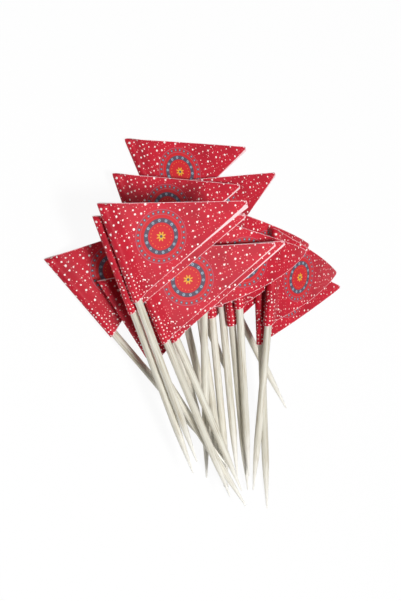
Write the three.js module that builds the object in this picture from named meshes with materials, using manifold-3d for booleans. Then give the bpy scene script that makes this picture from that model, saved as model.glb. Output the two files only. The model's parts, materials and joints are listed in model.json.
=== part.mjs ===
// A loose heap of paper flag picks: pointed wooden sticks, each with a folded paper pennant.
// Millimetres, +Z up. The heap lies on the plane z = 0, with its points towards -Y.
import * as THREE from 'three';
import { mergeVertices } from 'three/addons/utils/BufferGeometryUtils.js';
import Module from 'manifold-3d';

const wasm = await Module();
wasm.setup();

// Stick
const stickLength = 76;
const stickRadius = 1.05;
const pointLength = 11; // turned taper at the sharp end
const pointRadius = 0.16; // the point is blunted this much
const endBevel = 0.2; // broken edge at the blunt end
const roundSides = 12; // flats round the stick and its sleeve, one of them underneath

// Paper pennant
const hoistLength = 28; // along the stick
const flagReach = 37.5; // from the stick's axis to the pennant's tip
const tipDrop = 1.7; // the tip lies this much nearer the point than the middle of the hoist
const tipWidth = 0.7; // the trimmed tip
const paperWrap = 0.25; // one sheet round the stick
const leafThickness = 0.4; // two sheets and their glue
const wrapGap = 0.15; // between the stick and the paper round it
const throatReach = 3.2; // where the two sheets meet beside the stick
const sleeveOverhang = 0.8; // paper that stands past the stick's blunt end
const leafSteps = 7; // bends across the leaf

// Heap
const restGap = 0.3; // left between pieces that lie on each other
const planeGap = 0.05; // left between the plane and the picks that touch it, besides the first
const cell = 0.3; // grid for the heights of what already lies there
const gridReach = 2 * stickLength; // the grid's half size, past the outermost pick
const leanPlay = 6; // degrees a pick may settle away from the lean it is given
const firstPitch = 4; // degrees, where the search for a pick's rest begins
const firstTurn = 3; // degrees, the first step of that search
const lastTurn = 0.04; // degrees, its last step

// Weight
const stickShare = 0.45; // of a pick's weight
const stickBalance = 0.52; // of the stick's length, from the point
const leafBalance = 0.31; // of the pennant's reach

// Where a pick is felt for what lies under it
const roundStep = 0.75; // along the stick
const roundSpread = 4; // on each side of the stick's underside
const edgeShare = 0.95; // of the radius, the outermost of them
const leafStep = 1; // across the leaf

// The picks in the order they were laid down, the first flat on the plane. tip is where the point lies.
// In degrees, heading is how far the stick points to the left of straight back, lean is how far the
// pennant rises where it leaves the stick, and bend is how far it has turned down at its tip.
const heap = [
  { name: 'pick_01', tip: [15, -22.5], heading: 27, lean: 0, bend: 3 },
  { name: 'pick_02', tip: [35, -29], heading: 34, lean: -2, bend: 4 },
  { name: 'pick_03', tip: [6, -35.5], heading: 24.5, lean: -2, bend: 4 },
  { name: 'pick_04', tip: [12, -48], heading: 19, lean: -2, bend: 6 },
  { name: 'pick_05', tip: [11.5, -52], heading: 12.5, lean: -4, bend: 6 },
  { name: 'pick_06', tip: [14, -52], heading: 12, lean: -6, bend: 8 },
  { name: 'pick_07', tip: [15, -49], heading: 12, lean: -8, bend: 8 },
  { name: 'pick_08', tip: [20, -53], heading: 15.5, lean: -10, bend: 8 },
  { name: 'pick_09', tip: [28, -58.5], heading: 10.5, lean: -2, bend: 10 },
  { name: 'pick_10', tip: [18, -49], heading: 13.5, lean: -12, bend: 26 },
  { name: 'pick_11', tip: [23, -53], heading: 6, lean: -12, bend: 28 },
  { name: 'pick_12', tip: [7, -49.5], heading: 13.5, lean: 22, bend: 60 },
  { name: 'pick_13', tip: [9, -45.6], heading: 44, lean: 30, bend: 3 },
  { name: 'pick_14', tip: [15, -57.4], heading: 37.5, lean: 26, bend: 3 },
  { name: 'pick_15', tip: [14.4, -53], heading: 33, lean: 20, bend: 3 },
  { name: 'pick_16', tip: [9.3, -54.5], heading: 31.5, lean: 18, bend: 3 },
  { name: 'pick_17', tip: [-3, -48], heading: 30, lean: 14, bend: 3 },
  { name: 'pick_18', tip: [-3.5, -45], heading: 30.5, lean: 14, bend: 3 },
];

const wood = new THREE.MeshStandardMaterial({ color: 0xe2d8c2, roughness: 0.75, metalness: 0 });
const paper = new THREE.MeshStandardMaterial({ color: 0xd0273a, roughness: 0.6, metalness: 0 });

const boreRadius = stickRadius + wrapGap;
const sleeveRadius = boreRadius + paperWrap;
const hoistTop = stickLength + sleeveOverhang;
const hoistBottom = hoistTop - hoistLength;
const halfStep = Math.PI / roundSides;
const balance = new THREE.Vector3(
  (1 - stickShare) * flagReach * leafBalance,
  stickShare * stickLength * stickBalance + (1 - stickShare) * (hoistTop + hoistBottom) / 2,
  0,
);

// A ring of corners whose flats lie at the given radius, with a flat facing straight down.
function ring(radius, from = 0, to = roundSides) {
  const corner = radius / Math.cos(halfStep);
  const points = [];
  for (let k = from; k < to; k++) {
    const angle = halfStep + (2 * k * Math.PI) / roundSides;
    points.push(new THREE.Vector2(corner * Math.cos(angle), corner * Math.sin(angle)));
  }
  return points;
}

function toSolid(geometry) {
  const bare = geometry.clone();
  bare.deleteAttribute('normal');
  bare.deleteAttribute('uv');
  const merged = mergeVertices(bare, 1e-4);
  return new wasm.Manifold(new wasm.Mesh({
    numProp: 3,
    vertProperties: new Float32Array(merged.attributes.position.array),
    triVerts: new Uint32Array(merged.index.array),
  }));
}

function toGeometry(solid) {
  const mesh = solid.getMesh();
  const geometry = new THREE.BufferGeometry();
  geometry.setAttribute('position', new THREE.BufferAttribute(new Float32Array(mesh.vertProperties), 3));
  geometry.setIndex(new THREE.BufferAttribute(new Uint32Array(mesh.triVerts), 1));
  geometry.computeVertexNormals();
  return geometry;
}

// The stick lies along +Y with its point at the origin.
function stickGeometry() {
  const corner = 1 / Math.cos(halfStep);
  const profile = [
    new THREE.Vector2(0, 0),
    new THREE.Vector2(pointRadius * corner, 0),
    new THREE.Vector2(stickRadius * corner, pointLength),
    new THREE.Vector2(stickRadius * corner, stickLength - endBevel),
    new THREE.Vector2((stickRadius - endBevel) * corner, stickLength),
    new THREE.Vector2(0, stickLength),
  ];
  const geometry = new THREE.LatheGeometry(profile, roundSides);
  geometry.rotateY(halfStep);
  return geometry;
}

// Where the middle of the leaf lies at a distance along it from the stick's axis: how far out and how
// far down, and how much the leaf has turned down there. Past the throat it bends as an arc.
function leafPlace(reach, bend) {
  const past = Math.max(0, reach - throatReach);
  const turned = (THREE.MathUtils.degToRad(bend) * past) / (flagReach - throatReach);
  const half = turned / 2;
  const chord = half ? (past * Math.sin(half)) / half : past;
  return { out: reach - past + chord * Math.cos(half), down: chord * Math.sin(half), turned };
}

// The flat pennant's lower and upper edges at a distance along it from the axis.
function pennantSpan(reach) {
  const share = (reach + sleeveRadius) / (flagReach + sleeveRadius);
  const half = (hoistLength / 2) * (1 - share) + (tipWidth / 2) * share;
  const middle = (hoistTop + hoistBottom) / 2 - tipDrop * share;
  return { low: middle - half, high: middle + half };
}

// The paper's section round the stick and out along the leaf, made as long as the hoist,
// then cut to the pennant's outline.
function flagGeometry(bend) {
  const outline = [];
  const over = [];
  const lowEdge = [];
  const highEdge = [];
  for (let k = 0; k <= leafSteps; k++) {
    const reach = throatReach + ((flagReach - throatReach) * k) / leafSteps;
    const { out, down, turned } = leafPlace(reach, bend);
    const aside = (leafThickness / 2) * Math.sin(turned);
    const above = (leafThickness / 2) * Math.cos(turned);
    outline.push(new THREE.Vector2(out - aside, -down - above));
    over.unshift(new THREE.Vector2(out + aside, -down + above));
    const span = pennantSpan(reach);
    lowEdge.push(new THREE.Vector2(out, span.low));
    highEdge.unshift(new THREE.Vector2(out, span.high));
  }
  outline.push(...over);
  const openSides = Math.round(roundSides / 6); // sides of the ring that the leaf covers, above and below
  outline.push(...ring(sleeveRadius, openSides - 1, roundSides - openSides + 1));
  const section = new THREE.Shape(outline);
  section.holes.push(new THREE.Path(ring(boreRadius).reverse()));
  const blank = new THREE.ExtrudeGeometry(section, { depth: hoistLength, steps: 1, bevelEnabled: false });
  blank.rotateX(Math.PI / 2); // the section's up stays up, and its depth runs towards -Y
  blank.translate(0, hoistTop, 0);

  const beyond = 1; // the cutter starts this far outside the sleeve and ends this far past the tip
  const root = pennantSpan(-sleeveRadius - beyond);
  const end = pennantSpan(flagReach);
  const { out: tipOut } = leafPlace(flagReach, bend);
  const pennant = new THREE.Shape([
    new THREE.Vector2(-sleeveRadius - beyond, root.low),
    ...lowEdge,
    new THREE.Vector2(tipOut + beyond, end.low),
    new THREE.Vector2(tipOut + beyond, end.high),
    ...highEdge,
    new THREE.Vector2(-sleeveRadius - beyond, root.high),
  ]);
  const height = 2 * (sleeveRadius + flagReach);
  const cutter = new THREE.ExtrudeGeometry(pennant, { depth: height, steps: 1, bevelEnabled: false });
  cutter.translate(0, 0, -height / 2);
  return toGeometry(toSolid(blank).intersect(toSolid(cutter)));
}

// Heights of what already lies on the plane, on a square grid.
const gridCells = Math.ceil((2 * gridReach) / cell);
const ground = new Float32Array(gridCells * gridCells).fill(planeGap - restGap);

function gridIndex(x, y) {
  const column = Math.min(gridCells - 1, Math.max(0, Math.round((x + gridReach) / cell)));
  const row = Math.min(gridCells - 1, Math.max(0, Math.round((y + gridReach) / cell)));
  return row * gridCells + column;
}

// Raises the grid to the top of every triangle of a placed mesh.
function raiseGround(geometry, matrix) {
  const flat = geometry.index ? geometry.toNonIndexed() : geometry;
  const position = flat.attributes.position;
  const [a, b, c] = [new THREE.Vector3(), new THREE.Vector3(), new THREE.Vector3()];
  for (let i = 0; i < position.count; i += 3) {
    a.fromBufferAttribute(position, i).applyMatrix4(matrix);
    b.fromBufferAttribute(position, i + 1).applyMatrix4(matrix);
    c.fromBufferAttribute(position, i + 2).applyMatrix4(matrix);
    const area = (b.x - a.x) * (c.y - a.y) - (c.x - a.x) * (b.y - a.y);
    if (area < 1e-6) continue; // faces that look down or stand upright hide nothing
    const firstColumn = Math.floor((Math.min(a.x, b.x, c.x) + gridReach) / cell);
    const lastColumn = Math.ceil((Math.max(a.x, b.x, c.x) + gridReach) / cell);
    const firstRow = Math.floor((Math.min(a.y, b.y, c.y) + gridReach) / cell);
    const lastRow = Math.ceil((Math.max(a.y, b.y, c.y) + gridReach) / cell);
    for (let row = firstRow; row <= lastRow; row++) {
      for (let column = firstColumn; column <= lastColumn; column++) {
        const x = column * cell - gridReach;
        const y = row * cell - gridReach;
        const u = ((c.y - a.y) * (x - a.x) - (c.x - a.x) * (y - a.y)) / area;
        const v = ((b.x - a.x) * (y - a.y) - (b.y - a.y) * (x - a.x)) / area;
        if (u < 0 || v < 0 || u + v > 1) continue;
        const z = a.z + u * (b.z - a.z) + v * (c.z - a.z);
        const index = row * gridCells + column;
        if (z > ground[index]) ground[index] = z;
      }
    }
  }
}

// Points under a pick that must stay above the grid: round the stick and the sleeve, and over the leaf.
function feelers(bend) {
  const round = [];
  for (let along = 0; along <= hoistTop; along += roundStep) {
    const bare = pointRadius + (stickRadius - pointRadius) * Math.min(1, along / pointLength);
    const radius = (along > hoistBottom ? sleeveRadius : bare) + restGap;
    for (let k = -roundSpread; k <= roundSpread; k++) {
      const side = (edgeShare * k) / roundSpread;
      round.push({ along, side: side * radius, depth: radius * Math.sqrt(1 - side * side) });
    }
  }
  const leaf = [];
  const columns = Math.ceil((flagReach - throatReach) / leafStep);
  for (let column = 0; column <= columns; column++) {
    const reach = throatReach + ((flagReach - throatReach) * column) / columns;
    const span = pennantSpan(reach);
    const { out, down, turned } = leafPlace(reach, bend);
    const facing = new THREE.Vector3(Math.sin(turned), 0, Math.cos(turned));
    const rows = Math.ceil((span.high - span.low) / leafStep);
    for (let row = 0; row <= rows; row++) {
      const along = span.low + ((span.high - span.low) * row) / rows;
      leaf.push({ place: new THREE.Vector3(out, along, -down), facing });
    }
  }
  return { round, leaf };
}

// Heading about Z, then pitch about the level axis across the stick, then roll about the stick.
function pickTurn(heading, pitch, roll) {
  const turn = new THREE.Matrix4().makeRotationZ(THREE.MathUtils.degToRad(heading));
  turn.multiply(new THREE.Matrix4().makeRotationX(THREE.MathUtils.degToRad(pitch)));
  turn.multiply(new THREE.Matrix4().makeRotationY(THREE.MathUtils.degToRad(-roll)));
  return turn;
}

// The height of a pick's point when it is lowered at this pitch and roll until something stops it,
// and the height of its balance point there.
function letDown(pick, feel, pitch, roll) {
  const turn = pickTurn(pick.heading, pitch, roll);
  const [tipX, tipY] = pick.tip;
  const forward = new THREE.Vector3(0, 1, 0).applyMatrix4(turn);
  const level = new THREE.Vector3(forward.y, -forward.x, 0).normalize();
  const up = new THREE.Vector3().crossVectors(level, forward);
  let height = -Infinity;
  for (const { along, side, depth } of feel.round) {
    const x = tipX + forward.x * along + level.x * side - up.x * depth;
    const y = tipY + forward.y * along + level.y * side - up.y * depth;
    const z = forward.z * along - up.z * depth;
    height = Math.max(height, ground[gridIndex(x, y)] - z);
  }
  const point = new THREE.Vector3();
  const sheet = new THREE.Vector3();
  for (const { place, facing } of feel.leaf) {
    point.copy(place).applyMatrix4(turn);
    sheet.copy(facing).applyMatrix4(turn);
    const lift = (leafThickness / 2 + restGap) / sheet.z;
    height = Math.max(height, ground[gridIndex(tipX + point.x, tipY + point.y)] - point.z + lift);
  }
  return { height, balanceHeight: height + balance.clone().applyMatrix4(turn).z };
}

// Lets a pick find its rest: the pitch and roll, near its lean, at which its balance point lies lowest.
function settle(pick) {
  const feel = feelers(pick.bend);
  let rest = { pitch: firstPitch, roll: pick.lean };
  Object.assign(rest, letDown(pick, feel, rest.pitch, rest.roll));
  const ways = [[1, 0], [-1, 0], [0, 1], [0, -1], [1, 1], [-1, -1], [1, -1], [-1, 1]];
  for (let step = firstTurn; step > lastTurn; step /= 2) {
    let moved = true;
    while (moved) {
      moved = false;
      for (const [pitchWay, rollWay] of ways) {
        const pitch = rest.pitch + pitchWay * step;
        const roll = rest.roll + rollWay * step;
        if (Math.abs(roll - pick.lean) > leanPlay) continue;
        const found = letDown(pick, feel, pitch, roll);
        if (found.balanceHeight < rest.balanceHeight - 1e-6) {
          rest = { pitch, roll, ...found };
          moved = true;
        }
      }
    }
  }
  return pickTurn(pick.heading, rest.pitch, rest.roll).setPosition(...pick.tip, rest.height);
}

const group = new THREE.Group();
for (const pick of heap) {
  const first = pick === heap[0];
  const stick = stickGeometry();
  const flag = flagGeometry(pick.bend);
  const matrix = first ? pickTurn(pick.heading, 0, 0).setPosition(...pick.tip, sleeveRadius) : settle(pick);
  raiseGround(stick, matrix);
  raiseGround(flag, matrix);
  const node = new THREE.Group();
  matrix.decompose(node.position, node.quaternion, node.scale);
  const stickMesh = new THREE.Mesh(stick, wood);
  stickMesh.name = `${pick.name}_stick`;
  const flagMesh = new THREE.Mesh(flag, paper);
  flagMesh.name = `${pick.name}_flag`;
  node.add(stickMesh, flagMesh);
  group.add(node);
}

// The origin is under the middle of the heap's box.
const box = new THREE.Box3().setFromObject(group, true);
const middle = box.getCenter(new THREE.Vector3());
for (const node of group.children) node.position.sub(new THREE.Vector3(middle.x, middle.y, box.min.z));

export default group;
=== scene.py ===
import json
import math
import random

import bmesh
import bpy
from mathutils import Matrix, Vector, noise

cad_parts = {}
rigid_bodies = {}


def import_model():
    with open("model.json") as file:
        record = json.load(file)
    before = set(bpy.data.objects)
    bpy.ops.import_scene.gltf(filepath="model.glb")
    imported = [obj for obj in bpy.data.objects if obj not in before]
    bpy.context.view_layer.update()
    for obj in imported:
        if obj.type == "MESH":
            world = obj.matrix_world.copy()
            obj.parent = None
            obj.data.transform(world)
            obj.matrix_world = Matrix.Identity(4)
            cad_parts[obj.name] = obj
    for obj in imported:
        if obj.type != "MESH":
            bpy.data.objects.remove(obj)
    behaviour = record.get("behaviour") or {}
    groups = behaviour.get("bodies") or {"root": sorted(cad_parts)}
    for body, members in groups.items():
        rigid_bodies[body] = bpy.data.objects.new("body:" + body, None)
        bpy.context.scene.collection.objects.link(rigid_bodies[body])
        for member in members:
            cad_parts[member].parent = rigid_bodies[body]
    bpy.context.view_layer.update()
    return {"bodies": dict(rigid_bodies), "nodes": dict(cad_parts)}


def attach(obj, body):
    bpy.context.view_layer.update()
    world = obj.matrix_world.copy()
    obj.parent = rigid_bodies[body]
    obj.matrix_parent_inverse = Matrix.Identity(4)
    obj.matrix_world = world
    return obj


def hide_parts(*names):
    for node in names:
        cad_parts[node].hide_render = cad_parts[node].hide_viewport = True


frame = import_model()
bpy.ops.object.select_all(action="DESELECT")  # the CAD nodes come in selected
bpy.context.view_layer.objects.active = None

mm = 0.001
slack = 0.01  # mm, within which two places count as the same
pickNames = sorted(frame["bodies"])
print("frame loaded,", len(pickNames), "picks")


# Colours and nodes. A Mix node's colours are its inputs 6 and 7, and the mixed colour is output 2.

def linear(hexColour):  # sRGB hex to the linear values that sockets take
    parts = [int(hexColour[i:i + 2], 16) / 255 for i in (1, 3, 5)]
    return [p / 12.92 if p <= 0.04045 else ((p + 0.055) / 1.055) ** 2.4 for p in parts] + [1.0]


def addNode(tree, kind, inputs, **settings):  # a node with its settings, values and links
    node = tree.nodes.new("ShaderNode" + kind)
    for name, value in settings.items():
        setattr(node, name, value)
    for key, value in (inputs.items() if isinstance(inputs, dict) else enumerate(inputs)):
        if isinstance(value, bpy.types.NodeSocket):
            tree.links.new(value, node.inputs[key])
        else:
            node.inputs[key].default_value = value
    return node


def newMaterial(name):
    material = bpy.data.materials.new(name)
    material.use_nodes = True
    material.node_tree.nodes.clear()
    return material, material.node_tree


def insideOf(tree, size, distance, soft):  # 1 where distance is less than size, 0 beyond
    left = addNode(tree, "Math", [size, distance], operation="SUBTRACT").outputs[0]
    return addNode(tree, "Math", [left, soft], operation="DIVIDE", use_clamp=True).outputs[0]


# Birch, turned and sanded, raw: pale, matte, with fine fibres along the stick, and a painted highlight
# towards the point.

birchLook = {  # lengths in mm
    "pale": "#E7E4D8",
    "grey": "#CDC9BB",
    "fibre": "#A89878",
    "point": "#F7F5EF",  # painted highlight: the point end painted paler, for the light falling on the points
    "pointLength": 15.0,
    "pointShare": 0.9,  # how much of the painted highlight's colour the point's end takes
    "fibreWidth": 0.22,
    "fibreLength": 9.0,
    "fibreLimits": (0.5, 0.72),  # noise from which a fibre begins to show, and is full
    "fibreShare": 0.9,
    "fibreDepth": 0.03,
    "bandWidth": 1.6,  # the broad grey bands under the fibres
    "bandLength": 30.0,
    "bandLimits": (0.35, 0.65),
    "relief": 0.5,
    "roughness": 0.68,
    "ior": 1.5,
}


def birch(look):
    material, tree = newMaterial("raw_birch_sanded")
    place = addNode(tree, "Attribute", {}, attribute_name="grainPlace").outputs["Vector"]
    across, along = 1 / look["fibreWidth"], 1 / look["fibreLength"]
    fibreSpace = addNode(tree, "Mapping", {"Vector": place, "Scale": (across, across, along)}).outputs[0]
    fibres = addNode(tree, "TexNoise", {"Vector": fibreSpace, "Scale": 1.0, "Detail": 3.0,
                                        "Roughness": 0.6}).outputs[0]
    across, along = 1 / look["bandWidth"], 1 / look["bandLength"]
    bandSpace = addNode(tree, "Mapping", {"Vector": place, "Scale": (across, across, along)}).outputs[0]
    bands = addNode(tree, "TexNoise", {"Vector": bandSpace, "Scale": 1.0, "Detail": 2.0}).outputs[0]
    bandShare = addNode(tree, "MapRange", [bands, *look["bandLimits"]]).outputs[0]
    ground = addNode(tree, "Mix", {0: bandShare, 6: linear(look["pale"]), 7: linear(look["grey"])},
                     data_type="RGBA").outputs[2]
    fibreShare = addNode(tree, "MapRange", [fibres, *look["fibreLimits"], 0.0, look["fibreShare"]]).outputs[0]
    grained = addNode(tree, "Mix", {0: fibreShare, 6: ground, 7: linear(look["fibre"])},
                      data_type="RGBA").outputs[2]
    height = addNode(tree, "SeparateXYZ", [place]).outputs["Z"]  # along the stick from its point
    # painted highlight: the colour turns paler towards the point, over pointLength from it
    highlightRange = [height, 0.0, look["pointLength"], look["pointShare"], 0.0]
    highlightShare = addNode(tree, "MapRange", highlightRange).outputs[0]
    colour = addNode(tree, "Mix", {0: highlightShare, 6: grained, 7: linear(look["point"])},
                     data_type="RGBA").outputs[2]
    relief = addNode(tree, "Bump", {"Height": fibres, "Strength": look["relief"],
                                    "Distance": look["fibreDepth"] * mm}).outputs[0]
    surface = addNode(tree, "BsdfPrincipled", {"Base Color": colour, "Roughness": look["roughness"],
                                               "IOR": look["ior"], "Normal": relief})
    addNode(tree, "OutputMaterial", [surface.outputs[0]])
    return material


# Printed paper: bright red ink over white stock, satin, with dots and a round rosette. All sizes in mm,
# across the folded sheet from the middle of its fold and along the stick from the point.

printLook = {
    "red": "#C91D33",
    "deepRed": "#AA1429",
    "rosetteRed": "#C9232C",
    "white": "#FBF1EE",
    "pink": "#F0A9A6",
    "slate": "#544858",
    "mauve": "#94687A",
    "sky": "#93AFBE",
    "gold": "#E2B03A",
    "ochre": "#E58A3A",
    "cloudSize": 9.0,  # the red's slow change to the deeper one
    "cloudLimits": (0.35, 0.7),
    "soft": 0.07,  # blur of printed outlines
    "edgeWear": 0.2,  # ink rubbed off this far in from a cut edge, at most
    "leastWear": 0.3,  # share of it where the edge is worn least
    "wearLimits": (0.3, 0.7),
    "wearBlur": 0.05,
    "fibreSize": 0.35,
    "fibreDepth": 0.02,
    "relief": 0.35,
    "roughness": 0.55,
    "gloss": 0.22,
    "stock": "#EDBDC4",
}

# Dots lie in cells: scatter is how far they lie off a grid, from 0 to 1, and share how many cells hold one.
# The white ones crowd together at the hoist's lower corner. How far a place is from it is the sum of its
# distances across and along, each times its own rate.
dotForm = {
    "fine": {"cell": 0.95, "scatter": 0.55, "smallest": 0.1, "largest": 0.17},
    "fineShare": 0.45,
    "crowded": {"cell": 1.05, "scatter": 0.4, "smallest": 0.18, "largest": 0.27},
    "crowdedShare": (0.9, 0.0),  # at the corner, and far from it
    "scattered": {"cell": 1.7, "scatter": 0.55, "smallest": 0.17, "largest": 0.37},
    "scatteredShare": (0.2, 0.84),
    "cornerAlong": 49.5,
    "acrossRate": 0.14,
    "alongRate": 0.11,
    "farLimits": (0.7, 1.5),  # where the crowd begins to thin, and where it ends
    "clearRing": 0.3,  # left bare round the rosette
}

rosetteForm = {
    "across": 14.0,
    "along": 62.2,
    "radius": 7.1,
    "outerLine": (7.0, 0.1),  # radius and half width
    "innerLine": (5.75, 0.08),
    "outerBeads": (28, 6.38, 0.43),  # count, radius of their circle, radius of each
    "outerPips": (28, 6.38, 0.23),
    "band": (4.2, 0.62),
    "bandBeads": (14, 4.2, 0.4),
    "bandPips": (14, 4.2, 0.17),
    "seeds": (20, 2.9, 0.15),
    "petals": 8.0,
    "petalReach": (0.6, 1.35),  # between two petals, and at a petal's end
    "middle": 0.42,
}


def dotLayer(tree, look, flat, dots, share):
    cell = dots["cell"]
    cells = addNode(tree, "TexVoronoi", {"Vector": flat, "Scale": 1 / cell, "Randomness": dots["scatter"]},
                    voronoi_dimensions="2D")
    chance = addNode(tree, "SeparateColor", [cells.outputs["Color"]]).outputs
    size = addNode(tree, "Math", [chance[0], 2.0], operation="POWER").outputs[0]  # most are small
    sizeRange = [size, 0.0, 1.0, dots["smallest"] / cell, dots["largest"] / cell]
    radius = addNode(tree, "MapRange", sizeRange).outputs[0]
    kept = addNode(tree, "Math", [chance[1], share], operation="LESS_THAN").outputs[0]
    inked = insideOf(tree, radius, cells.outputs["Distance"], look["soft"] / cell)
    return addNode(tree, "Math", [inked, kept], operation="MULTIPLY").outputs[0]


# A ring of equal beads, count of them on a circle.
def beadRing(tree, look, radius, turn, count, circle, bead):
    share = addNode(tree, "Math", [turn, count / math.tau], operation="MULTIPLY").outputs[0]
    step = addNode(tree, "Math", [share, 0.5, -0.5], operation="WRAP").outputs[0]
    aside = addNode(tree, "Math", [step, math.tau / count * circle], operation="MULTIPLY").outputs[0]
    out = addNode(tree, "Math", [radius, circle], operation="SUBTRACT").outputs[0]
    offset = addNode(tree, "CombineXYZ", [aside, out, 0.0]).outputs[0]
    distance = addNode(tree, "VectorMath", [offset], operation="LENGTH").outputs["Value"]
    return insideOf(tree, bead, distance, look["soft"])


# A plain printed circle line.
def circleLine(tree, look, radius, circle, halfWidth):
    out = addNode(tree, "Math", [radius, circle], operation="SUBTRACT").outputs[0]
    distance = addNode(tree, "Math", [out], operation="ABSOLUTE").outputs[0]
    return insideOf(tree, halfWidth, distance, look["soft"])


def printedPaper(look, dots, rosette):
    material, tree = newMaterial("printed_satin_paper")
    place = addNode(tree, "Attribute", {}, attribute_name="printPlace").outputs["Vector"]
    across, along, edge = addNode(tree, "SeparateXYZ", [place]).outputs
    flat = addNode(tree, "CombineXYZ", [across, along, 0.0]).outputs[0]

    # places round the rosette's middle, the same on both leaves
    outward = addNode(tree, "Math", [across], operation="ABSOLUTE").outputs[0]
    right = addNode(tree, "Math", [outward, rosette["across"]], operation="SUBTRACT").outputs[0]
    up = addNode(tree, "Math", [along, rosette["along"]], operation="SUBTRACT").outputs[0]
    offset = addNode(tree, "CombineXYZ", [right, up, 0.0]).outputs[0]
    radius = addNode(tree, "VectorMath", [offset], operation="LENGTH").outputs["Value"]
    turn = addNode(tree, "Math", [up, right], operation="ARCTAN2").outputs[0]

    cloudSpace = {"Vector": flat, "Scale": 1 / look["cloudSize"], "Detail": 3.0}
    clouds = addNode(tree, "TexNoise", cloudSpace).outputs[0]
    cloudShare = addNode(tree, "MapRange", [clouds, *look["cloudLimits"]]).outputs[0]
    colour = addNode(tree, "Mix", {0: cloudShare, 6: linear(look["red"]), 7: linear(look["deepRed"])},
                     data_type="RGBA").outputs[2]

    # scattered dots, away from the rosette, and closer together near the hoist's lower corner
    clear = insideOf(tree, radius, rosette["radius"] + dots["clearRing"], look["soft"])
    farAcross = addNode(tree, "Math", [outward, dots["acrossRate"]], operation="MULTIPLY").outputs[0]
    fromCorner = addNode(tree, "Math", [along, dots["cornerAlong"]], operation="SUBTRACT").outputs[0]
    farAlong = addNode(tree, "Math", [fromCorner, dots["alongRate"]], operation="MULTIPLY").outputs[0]
    far = addNode(tree, "Math", [farAcross, farAlong], operation="ADD").outputs[0]
    crowd = addNode(tree, "MapRange", [far, *dots["farLimits"], *dots["crowdedShare"]]).outputs[0]
    thinned = addNode(tree, "MapRange", [far, *dots["farLimits"], *dots["scatteredShare"]]).outputs[0]
    layers = [
        (dotLayer(tree, look, flat, dots["fine"], dots["fineShare"]), "pink"),
        (dotLayer(tree, look, flat, dots["crowded"], crowd), "white"),
        (dotLayer(tree, look, flat, dots["scattered"], thinned), "white"),
    ]
    for mask, name in layers:
        shown = addNode(tree, "Math", [mask, clear], operation="MULTIPLY").outputs[0]
        colour = addNode(tree, "Mix", {0: shown, 6: colour, 7: linear(look[name])},
                         data_type="RGBA").outputs[2]

    # the rosette, from its ground to its middle
    petals = addNode(tree, "Math", [turn, rosette["petals"]], operation="MULTIPLY").outputs[0]
    wave = addNode(tree, "Math", [petals], operation="COSINE").outputs[0]
    petalReach = addNode(tree, "MapRange", [wave, -1.0, 1.0, *rosette["petalReach"]]).outputs[0]
    rings = [
        (insideOf(tree, rosette["radius"], radius, look["soft"]), "rosetteRed"),
        (circleLine(tree, look, radius, *rosette["outerLine"]), "mauve"),
        (circleLine(tree, look, radius, *rosette["innerLine"]), "mauve"),
        (beadRing(tree, look, radius, turn, *rosette["outerBeads"]), "slate"),
        (beadRing(tree, look, radius, turn, *rosette["outerPips"]), "sky"),
        (circleLine(tree, look, radius, *rosette["band"]), "slate"),
        (beadRing(tree, look, radius, turn, *rosette["bandBeads"]), "sky"),
        (beadRing(tree, look, radius, turn, *rosette["bandPips"]), "slate"),
        (beadRing(tree, look, radius, turn, *rosette["seeds"]), "ochre"),
        (insideOf(tree, petalReach, radius, look["soft"]), "gold"),
        (insideOf(tree, rosette["middle"], radius, look["soft"]), "slate"),
    ]
    for mask, name in rings:
        colour = addNode(tree, "Mix", {0: mask, 6: colour, 7: linear(look[name])},
                         data_type="RGBA").outputs[2]

    # ink rubbed off along the cut edges
    fibreSpace = {"Vector": flat, "Scale": 1 / look["fibreSize"], "Detail": 2.0}
    fibres = addNode(tree, "TexNoise", fibreSpace).outputs[0]
    wearRange = [fibres, *look["wearLimits"], look["edgeWear"] * look["leastWear"], look["edgeWear"]]
    ragged = addNode(tree, "MapRange", wearRange).outputs[0]
    worn = insideOf(tree, ragged, edge, look["wearBlur"])
    colour = addNode(tree, "Mix", {0: worn, 6: colour, 7: linear(look["stock"])},
                     data_type="RGBA").outputs[2]

    relief = addNode(tree, "Bump", {"Height": fibres, "Strength": look["relief"],
                                    "Distance": look["fibreDepth"] * mm}).outputs[0]
    surface = addNode(tree, "BsdfPrincipled", {"Base Color": colour, "Roughness": look["roughness"],
                                               "Specular IOR Level": look["gloss"], "Normal": relief})
    addNode(tree, "OutputMaterial", [surface.outputs[0]])
    return material


# The same sheet's white stock, seen at its cut edges and inside the fold: uncoated, faintly pink.

stockLook = {  # mm
    "pink": printLook["stock"],
    "pale": "#F8E6E4",
    "fibreSize": 0.35,
    "fibreDepth": 0.02,
    "relief": 0.4,
    "roughness": 0.85,
}


def cutPaper(look):
    material, tree = newMaterial("uncoated_paper_stock")
    place = addNode(tree, "Attribute", {}, attribute_name="printPlace").outputs["Vector"]
    fibreSpace = {"Vector": place, "Scale": 1 / look["fibreSize"], "Detail": 3.0}
    fibres = addNode(tree, "TexNoise", fibreSpace).outputs[0]
    colour = addNode(tree, "Mix", {0: fibres, 6: linear(look["pink"]), 7: linear(look["pale"])},
                     data_type="RGBA").outputs[2]
    relief = addNode(tree, "Bump", {"Height": fibres, "Strength": look["relief"],
                                    "Distance": look["fibreDepth"] * mm}).outputs[0]
    surface = addNode(tree, "BsdfPrincipled", {"Base Color": colour, "Roughness": look["roughness"],
                                               "Normal": relief})
    addNode(tree, "OutputMaterial", [surface.outputs[0]])
    return material


birchWood = birch(birchLook)
printFace = printedPaper(printLook, dotForm, rosetteForm)
paperStock = cutPaper(stockLook)
print("materials made")


# Where each pick lies, read from its CAD nodes: X runs out along the pennant, Z up the stick from the
# point, and Y is the side to which the pennant sags.

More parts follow.
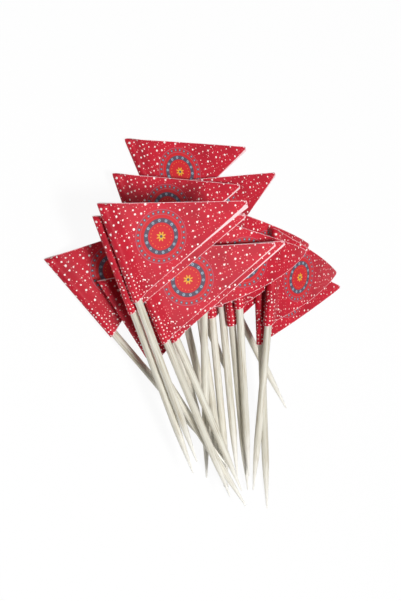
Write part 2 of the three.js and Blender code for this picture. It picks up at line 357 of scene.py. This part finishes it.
cadMarks = {  # mm, to tell the corners of the CAD's stick and pennant apart
    "endLength": 3.0,  # corners this near an end of the stick belong to it
    "throat": (3.0, 4.0),  # how far from the stick's axis the two leaves meet
    "tipStrip": 0.5,
}


def cornersOf(node):  # each corner of a CAD node once
    vertices = frame["nodes"][node].data.vertices
    return list({tuple(round(c, 7) for c in vertex.co): vertex.co.copy() for vertex in vertices}.values())


def middleOf(points):
    return sum(points, Vector()) / len(points)


def spreadOf(points):
    middle = middleOf(points)
    return max((p - middle).length for p in points)


def pickPlace(name):
    stick = cornersOf(name + "_stick")
    farEnd = max(stick, key=lambda p: (p - stick[0]).length)
    nearEnd = max(stick, key=lambda p: (p - farEnd).length)
    endLength = cadMarks["endLength"] * mm
    ends = [[p for p in stick if (p - end).length < endLength] for end in (farEnd, nearEnd)]
    ends.sort(key=spreadOf)  # the point is the thin end
    tip, blunt = middleOf(ends[0]), middleOf(ends[1])
    along = (blunt - tip).normalized()
    offsets = [p - tip - along * (p - tip).dot(along) for p in cornersOf(name + "_flag")]
    throatFrom, throatTo = (r * mm for r in cadMarks["throat"])
    throat = middleOf([o for o in offsets if throatFrom < o.length < throatTo])
    out = throat.normalized()
    side = along.cross(out)
    reach = max(o.length for o in offsets)
    leaf = middleOf([o for o in offsets if o.length > reach - cadMarks["tipStrip"] * mm]) - throat
    bend = 2 * math.atan2(leaf.dot(side), leaf.dot(out))  # an arc turns by twice the angle of its chord
    place = Matrix((out, side, along)).transposed().to_4x4()
    place.translation = tip
    return place, bend


# Modelling

def selectWhere(piece, test):  # in edit mode: selects the vertices whose place passes the test
    shape = bmesh.from_edit_mesh(piece.data)
    for vertex in shape.verts:
        vertex.select_set(False)
    shape.select_flush(False)
    for vertex in shape.verts:
        if test(vertex.co):
            vertex.select_set(True)
    shape.select_flush(True)
    bmesh.update_edit_mesh(piece.data)


def startEdit():
    bpy.context.tool_settings.mesh_select_mode = (True, False, False)
    bpy.ops.object.mode_set(mode="EDIT")
    bpy.ops.mesh.select_all(action="SELECT")


def endEdit():
    bpy.ops.mesh.select_all(action="SELECT")
    bpy.ops.mesh.normals_make_consistent(inside=False)
    bpy.ops.object.mode_set(mode="OBJECT")


def setPlaces(mesh, name, places):  # stores a place for the pattern at each vertex
    attribute = mesh.attributes.new(name, "FLOAT_VECTOR", "POINT")
    attribute.data.foreach_set("vector", [c for place in places for c in place])


# The stick, upright from its point at the origin: a turned taper, a long shaft and a sawn end.

stickForm = {  # mm
    "sides": 24,
    "point": [(0.0, 0.16), (0.3, 0.22), (3.0, 0.38), (6.0, 0.6),  # height and radius
              (9.0, 0.8), (12.0, 0.95), (15.0, 1.04)],
    "length": 76.0,
    "bevel": 0.2,
    "shaftSteps": 24,
    "unevenness": 0.02,  # share of the radius
    "unevenLength": 6.0,
    "smoothAngle": 40.0,
}


def modelStick(form):
    (low, radius), *rings = form["point"]
    shaftStart, shaftRadius = rings[-1]
    shaftEnd = form["length"] - form["bevel"]
    step = (shaftEnd - shaftStart) / form["shaftSteps"]
    rings += [(shaftStart + step * (k + 1), shaftRadius) for k in range(form["shaftSteps"])]
    rings.append((form["length"], shaftRadius - form["bevel"]))
    bpy.ops.mesh.primitive_circle_add(vertices=form["sides"], radius=radius * mm, fill_type="NGON",
                                      location=(0, 0, 0))
    piece = bpy.context.active_object
    startEdit()
    for height, nextRadius in rings:
        bpy.ops.mesh.extrude_region_move(TRANSFORM_OT_translate={"value": (0, 0, (height - low) * mm)})
        scale = nextRadius / radius
        bpy.ops.transform.resize(value=(scale, scale, 1), center_override=(0, 0, height * mm))
        low, radius = height, nextRadius
    endEdit()
    bpy.ops.object.shade_smooth_by_angle(angle=math.radians(form["smoothAngle"]))
    piece.data.materials.append(birchWood)
    return piece


# The pennant: one sheet bent round the stick, pinched behind it and laid together, then trimmed to a
# long triangle. It is drawn as the sheet's middle line first and gets its thickness last.

flagForm = {  # mm
    "top": 76.8,
    "hoist": 28.0,
    "reach": 37.5,
    "tipDrop": 1.7,
    "tipWidth": 0.7,
    "sleeveRadius": 1.45,
    "sheet": 0.18,
    "foldSides": 24,
    "openAngle": 55.0,  # degrees each side of the leaf where the fold stands open
    "closedEnd": 0.72,  # how far down from the top the fold is pressed nearly shut
    "pressed": 0.34,  # share of its width left there
    "pressedTo": 2.4,
    "pinch": [(1.3, 0.85), (2.1, 0.47), (2.7, 0.21), (3.2, 0.11)],
    "columns": 16,
    "rows": 18,
    "smoothAngle": 35.0,
}


def outlineAt(form, x):  # the trimmed sheet's width, and how far its middle has dropped
    share = (x + form["sleeveRadius"]) / (form["reach"] + form["sleeveRadius"])
    return form["hoist"] * (1 - share) + form["tipWidth"] * share, form["tipDrop"] * share


def modelFlag(form):
    bend = form["sleeveRadius"] - form["sheet"] / 2
    bpy.ops.mesh.primitive_circle_add(vertices=form["foldSides"], radius=bend * mm, location=(0, 0, 0))
    piece = bpy.context.active_object
    startEdit()
    bpy.ops.transform.translate(value=(0, 0, form["top"] * mm))
    openX = bend * math.cos(math.radians(form["openAngle"]))
    selectWhere(piece, lambda co: co.x > openX * mm)
    bpy.ops.mesh.delete(type="VERT")

    # out from both ends of the bend, through the pinch and along the two leaves
    throat, leafMiddle = form["pinch"][-1]
    step = (form["reach"] - throat) / form["columns"]
    line = form["pinch"] + [(throat + step * (k + 1), leafMiddle) for k in range(form["columns"])]
    shape = bmesh.from_edit_mesh(piece.data)
    firstX = max(vertex.co.x for vertex in shape.verts) / mm
    firstY = max(v.co.y for v in shape.verts if v.co.x / mm > firstX - slack) / mm
    for way in (1, -1):
        x, y = firstX, firstY
        selectWhere(piece, lambda co: abs(co.x / mm - firstX) < slack and co.y * way > 0)
        for nextX, nextY in line:
            move = ((nextX - x) * mm, way * (nextY - y) * mm, 0)
            bpy.ops.mesh.extrude_vertices_move(TRANSFORM_OT_translate={"value": move})
            x, y = nextX, nextY

    # down the stick, row by row
    bpy.ops.mesh.select_all(action="SELECT")
    below = (form["hoist"] - form["closedEnd"]) / form["rows"]
    for drop in [form["closedEnd"]] + [below] * form["rows"]:
        bpy.ops.mesh.extrude_region_move(TRANSFORM_OT_translate={"value": (0, 0, -drop * mm)})
    # past the stick's end the fold is pressed nearly shut
    selectWhere(piece, lambda co: co.z > (form["top"] - slack) * mm and co.x < form["pressedTo"] * mm)
    bpy.ops.transform.resize(value=(1, form["pressed"], 1), center_override=(0, 0, form["top"] * mm))
    # each column is drawn in to the trimmed outline
    shape = bmesh.from_edit_mesh(piece.data)
    hoistMiddle = (0, 0, (form["top"] - form["hoist"] / 2) * mm)
    for x in sorted({round(vertex.co.x / mm, 3) for vertex in shape.verts}):
        width, drop = outlineAt(form, x)
        selectWhere(piece, lambda co: abs(co.x / mm - x) < slack)
        bpy.ops.transform.resize(value=(1, 1, width / form["hoist"]), center_override=hoistMiddle)
        bpy.ops.transform.translate(value=(0, 0, -drop * mm))
    endEdit()

    back = min(piece.data.polygons, key=lambda face: face.center.x)
    if back.normal.x > 0:  # the print is on the outside of the fold
        piece.data.flip_normals()
    markPrint(piece.data, form, [(firstX, firstY)] + line, bend)
    thickness = piece.modifiers.new("Sheet", "SOLIDIFY")
    thickness.thickness = form["sheet"] * mm
    thickness.offset = 0
    thickness.use_even_offset = True
    thickness.material_offset = 1
    thickness.material_offset_rim = 1
    for material in (printFace, paperStock):
        piece.data.materials.append(material)
    bpy.ops.object.modifier_apply(modifier="Sheet")
    bpy.ops.object.shade_smooth_by_angle(angle=math.radians(form["smoothAngle"]))
    return piece


# Stores where each vertex is on the flat sheet: across from the middle of the fold, along the stick,
# and how far it is from the nearest cut edge.
def markPrint(mesh, form, line, bend):
    firstX, firstY = line[0]
    bendLength = (math.pi - math.atan2(firstY, firstX)) * bend

    def acrossAt(x, y):
        if x <= firstX + slack:
            return (math.pi - math.atan2(abs(y), x)) * bend
        reached = bendLength
        for (startX, startY), (endX, endY) in zip(line, line[1:]):
            length = math.hypot(endX - startX, endY - startY)
            if x <= endX:
                return reached + length * (x - startX) / (endX - startX)
            reached += length
        return reached

    slope = (form["hoist"] - form["tipWidth"]) / 2 / (form["reach"] + form["sleeveRadius"])
    places = []
    for vertex in mesh.vertices:
        x, y, z = (c / mm for c in vertex.co)
        width, drop = outlineAt(form, x)
        centre = form["top"] - form["hoist"] / 2 - drop
        toEdge = (width / 2 - abs(z - centre)) * math.cos(math.atan(slope))
        places.append((math.copysign(acrossAt(x, y), -y), z, min(toEdge, form["reach"] - x)))
    setPlaces(mesh, "printPlace", places)


stickPattern = modelStick(stickForm)
flagPattern = modelFlag(flagForm)
print("stick and pennant modelled")


# The picks: copies of the two patterns, each with its own grain, bend and place.

def copyPiece(pattern, name, shaped, place):
    piece = bpy.data.objects.new(name, pattern.data.copy())
    bpy.context.scene.collection.objects.link(piece)
    for vertex in piece.data.vertices:
        vertex.co = shaped(vertex.co)
    piece.data.transform(place)
    piece.data.update()
    return piece


pickForm = {  # mm
    "seed": 11,
    "grainSpread": 40.0,  # each stick's grain starts at another place, this far off at most
    "ripple": 0.09,
    "rippleLength": 14.0,
    "rippleRise": 4.0,  # the ripple is full after one part in this many of the leaf
    "askew": (0.2, 0.6),  # how far the under leaf's tip lies below the upper one's
    "mostAskew": {"pick_18": 1.2},
}
chance = random.Random(pickForm["seed"])
spread = pickForm["grainSpread"]
throatX = flagForm["pinch"][-1][0]
for name in pickNames:
    place, bend = pickPlace(name)
    grain = Vector((chance.uniform(-spread, spread), chance.uniform(-spread, spread), 0))
    askew = pickForm["mostAskew"].get(name, chance.uniform(*pickForm["askew"]))

    def shapedStick(co):
        swell = noise.noise(co / mm / stickForm["unevenLength"] + grain) * stickForm["unevenness"]
        return Vector((co.x * (1 + swell), co.y * (1 + swell), co.z))

    def shapedFlag(co):  # rolls the leaf round an arc, with a slight ripple and the under leaf askew
        past = max(0.0, co.x - throatX * mm)
        if past == 0.0:
            return co.copy()
        share = past / (flagForm["reach"] - throatX) / mm
        turned = bend * share
        chord = past * math.sin(turned / 2) / (turned / 2)
        at = Vector((co.x, 0, co.z)) / mm / pickForm["rippleLength"] + grain
        ripple = noise.noise(at) * pickForm["ripple"] * mm * min(1.0, share * pickForm["rippleRise"])
        aside = co.y + ripple
        x = throatX * mm + chord * math.cos(turned / 2) - aside * math.sin(turned)
        y = chord * math.sin(turned / 2) + aside * math.cos(turned)
        slip = askew * mm * share ** 2 if co.y > 0 else 0.0
        return Vector((x, y, co.z - slip))

    stickPlaces = [vertex.co / mm + grain for vertex in stickPattern.data.vertices]
    stick = copyPiece(stickPattern, name + "_stick_birch", shapedStick, place)
    setPlaces(stick.data, "grainPlace", stickPlaces)
    flag = copyPiece(flagPattern, name + "_pennant_paper", shapedFlag, place)
    for piece, node, slot in ((stick, "_stick", "wood"), (flag, "_flag", "paper")):
        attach(piece, name)
        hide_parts(name + node)
for pattern in (stickPattern, flagPattern):
    bpy.data.objects.remove(pattern)
print("picks placed")


# Camera at the photograph's angle

cameraView = {
    "target": Vector((-3.83, 4.64, 8.0)) * mm,
    "fromRight": -32.0,  # degrees off straight above, towards -X
    "fromBack": -8.0,  # and towards -Y
    "distance": 330.0 * mm,
    "lens": 70.2,
}
sideways = math.sin(math.radians(cameraView["fromRight"]))
forward = math.sin(math.radians(cameraView["fromBack"]))
toCamera = Vector((sideways, forward, math.sqrt(1 - sideways ** 2 - forward ** 2)))
rightward = Vector((0, 1, 0)).cross(toCamera).normalized()
upward = toCamera.cross(rightward)
lens = bpy.data.cameras.new("camera")
lens.lens = cameraView["lens"]
camera = bpy.data.objects.new("camera", lens)
bpy.context.scene.collection.objects.link(camera)
camera.matrix_world = Matrix((rightward, upward, toCamera)).transposed().to_4x4()
camera.location = cameraView["target"] + toCamera * cameraView["distance"]
bpy.context.scene.camera = camera


# Floor and light: a plain white floor, a small soft lamp high over the front left of the heap, and a wide
# weak one from the right. The camera sees the floor and the world as white.

stageLook = {  # metres and watts
    "floorSize": 3.0,
    "floor": "#F4F4F4",
    "floorGlow": 0.94,  # share of plain white that the camera sees, so that shadows stay faint
    "glow": "#FFFFFF",
    "world": 0.1,
    "keyPower": 3.1,
    "keySize": 0.12,
    "keyPlace": Vector((-0.06, -0.155, 0.56)),
    "fillPower": 0.8,
    "fillSize": 0.6,
    "fillPlace": Vector((0.5, 0.15, 0.6)),
}


def seenDirectly(tree):  # 1 for what the camera sees, itself or in a gloss, 0 for the light on the object
    seen = addNode(tree, "LightPath", {}).outputs
    return addNode(tree, "Math", [seen["Is Camera Ray"], seen["Is Glossy Ray"]],
                   operation="MAXIMUM").outputs[0]


def floorPaint(look):
    material, tree = newMaterial("matt_white_floor")
    share = addNode(tree, "Math", [seenDirectly(tree), look["floorGlow"]], operation="MULTIPLY").outputs[0]
    matt = addNode(tree, "BsdfDiffuse", [linear(look["floor"])]).outputs[0]
    glow = addNode(tree, "Emission", [linear(look["glow"]), 1.0]).outputs[0]
    both = addNode(tree, "MixShader", [share, matt, glow]).outputs[0]
    addNode(tree, "OutputMaterial", [both])
    return material


bpy.ops.object.select_all(action="DESELECT")
bpy.ops.mesh.primitive_plane_add(size=stageLook["floorSize"], location=(0, 0, 0))
floor = bpy.context.active_object
floor.name = "floor"
floor.data.materials.append(floorPaint(stageLook))

for name in ("key", "fill"):
    lamp = bpy.data.lights.new(name, "AREA")
    lamp.energy = stageLook[name + "Power"]
    lamp.size = stageLook[name + "Size"]
    holder = bpy.data.objects.new(name, lamp)
    bpy.context.scene.collection.objects.link(holder)
    holder.location = stageLook[name + "Place"]
    holder.rotation_euler = holder.location.to_track_quat("Z", "Y").to_euler()  # towards the origin

world = bpy.data.worlds.new("studio")
world.use_nodes = True
sky = world.node_tree
sky.nodes.clear()
strength = addNode(sky, "MapRange", [seenDirectly(sky), 0.0, 1.0, stageLook["world"], 1.0]).outputs[0]
white = addNode(sky, "Background", [linear(stageLook["glow"]), strength])
addNode(sky, "OutputWorld", [white.outputs[0]])
bpy.context.scene.world = world
bpy.context.scene.view_settings.view_transform = "Standard"
print("stage set")
